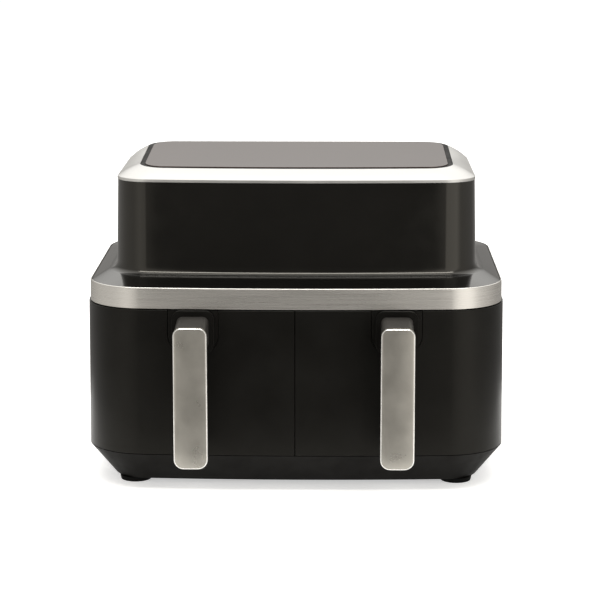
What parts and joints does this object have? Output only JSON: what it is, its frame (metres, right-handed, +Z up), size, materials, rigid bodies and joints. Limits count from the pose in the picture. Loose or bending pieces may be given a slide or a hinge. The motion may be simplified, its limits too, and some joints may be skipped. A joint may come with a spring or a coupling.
{
  "type": "air fryer",
  "caption": "Air fryer with side-by-side pull-out drawers, hanging handles, a steel band and a control panel on a raised top.",
  "frame": {"origin": "bottom centre of the overall box: on the counter, midway across, midway from handle fronts to the rear gland", "axes": "+X to the right seen from the front, +Y to the back, +Z up"},
  "size_m": [0.4, 0.352, 0.3091],
  "materials": {
    "satin_black": "satin",
    "gloss_black": "gloss",
    "dark_plastic": "matte",
    "steel_band": "brushed",
    "satin_silver": "satin metallic",
    "panel_glass": "gloss, dark printed back",
    "rubber": "matte",
    "sheet_steel": "satin",
    "nonstick_coating": "satin nonstick",
    "heating_steel": "heat-darkened",
    "silicone": "soft",
    "blanket": "mineral fibre",
    "aluminium": "satin",
    "board_green": "satin",
    "zinc_steel": "zinc plated",
    "white_plastic": "satin"
  },
  "bodies": {
    "housing": {"base_pan": "dark_plastic", "basket_rails": "sheet_steel", "board_tray": "dark_plastic", "cavity_liner_left": "sheet_steel", "cavity_liner_right": "sheet_steel", "centre_divider": "sheet_steel", "chassis_plate": "sheet_steel", "control_board": "board_green", "control_panel": "panel_glass", "cord_gland": "rubber", "drawer_switches": "dark_plastic", "exhaust_grille": "dark_plastic", "fan_housing_left": "sheet_steel", "fan_housing_right": "sheet_steel", "fan_motor_left": "zinc_steel", "fan_motor_right": "zinc_steel", "front_frame": "dark_plastic", "heater_element_left": "heating_steel", "heater_element_right": "heating_steel", "heater_guard_left": "zinc_steel", "heater_guard_right": "zinc_steel", "housing_screws": "zinc_steel", "insulation_blankets": "blanket", "lower_housing": "satin_black", "panel_seal": "dark_plastic", "power_board": "board_green", "rear_cover": "dark_plastic", "rubber_feet": "rubber", "temperature_probes": "zinc_steel", "thermal_cutouts": "white_plastic", "top_bezel": "satin_silver", "trim_band": "steel_band", "upper_housing": "gloss_black"},
    "drawer_left": {"basket_left": "nonstick_coating", "drawer_front_left": "satin_black", "drawer_gasket_left": "silicone", "drawer_inner_left": "dark_plastic", "handle_core_left": "satin_black", "handle_escutcheon_left": "satin_black", "handle_grip_left": "satin_silver", "switch_striker_left": "white_plastic"},
    "drawer_right": {"basket_right": "nonstick_coating", "drawer_front_right": "satin_black", "drawer_gasket_right": "silicone", "drawer_inner_right": "dark_plastic", "handle_core_right": "satin_black", "handle_escutcheon_right": "satin_black", "handle_grip_right": "satin_silver", "switch_striker_right": "white_plastic"},
    "fan_left": {"convection_fan_left": "aluminium", "cooling_fan_left": "white_plastic"},
    "fan_right": {"convection_fan_right": "aluminium", "cooling_fan_right": "white_plastic"},
    "crisper_left": {"crisper_plate_left": "nonstick_coating", "plate_bumpers_left": "silicone"},
    "crisper_right": {"crisper_plate_right": "nonstick_coating", "plate_bumpers_right": "silicone"},
    "plunger_left": {"switch_plunger_left": "white_plastic"},
    "plunger_right": {"switch_plunger_right": "white_plastic"}
  },
  "joints": [
    {"name": "drawer_slide_right", "type": "slide", "parent": "housing", "child": "drawer_right", "axis": [0, -1, 0], "range_m": [0, 0.22]},
    {"name": "crisper_lift_right", "type": "slide", "parent": "drawer_right", "child": "crisper_right", "axis": [0, 0, 1], "range_m": [0, 0.08]},
    {"name": "fan_spin_right", "type": "hinge", "parent": "housing", "child": "fan_right", "pos_m": [0.0949, 0.008, 0.2], "axis": [0, 0, 1], "continuous": true},
    {"name": "switch_press_right", "type": "slide", "parent": "housing", "child": "plunger_right", "axis": [0, 1, 0], "range_m": [0, 0.002], "stiffness_N_per_m": 120},
    {"name": "drawer_slide_left", "type": "slide", "parent": "housing", "child": "drawer_left", "axis": [0, -1, 0], "range_m": [0, 0.22]},
    {"name": "crisper_lift_left", "type": "slide", "parent": "drawer_left", "child": "crisper_left", "axis": [0, 0, 1], "range_m": [0, 0.08]},
    {"name": "fan_spin_left", "type": "hinge", "parent": "housing", "child": "fan_left", "pos_m": [-0.0949, 0.008, 0.2], "axis": [0, 0, 1], "continuous": true},
    {"name": "switch_press_left", "type": "slide", "parent": "housing", "child": "plunger_left", "axis": [0, 1, 0], "range_m": [0, 0.002], "stiffness_N_per_m": 120}
  ]
}
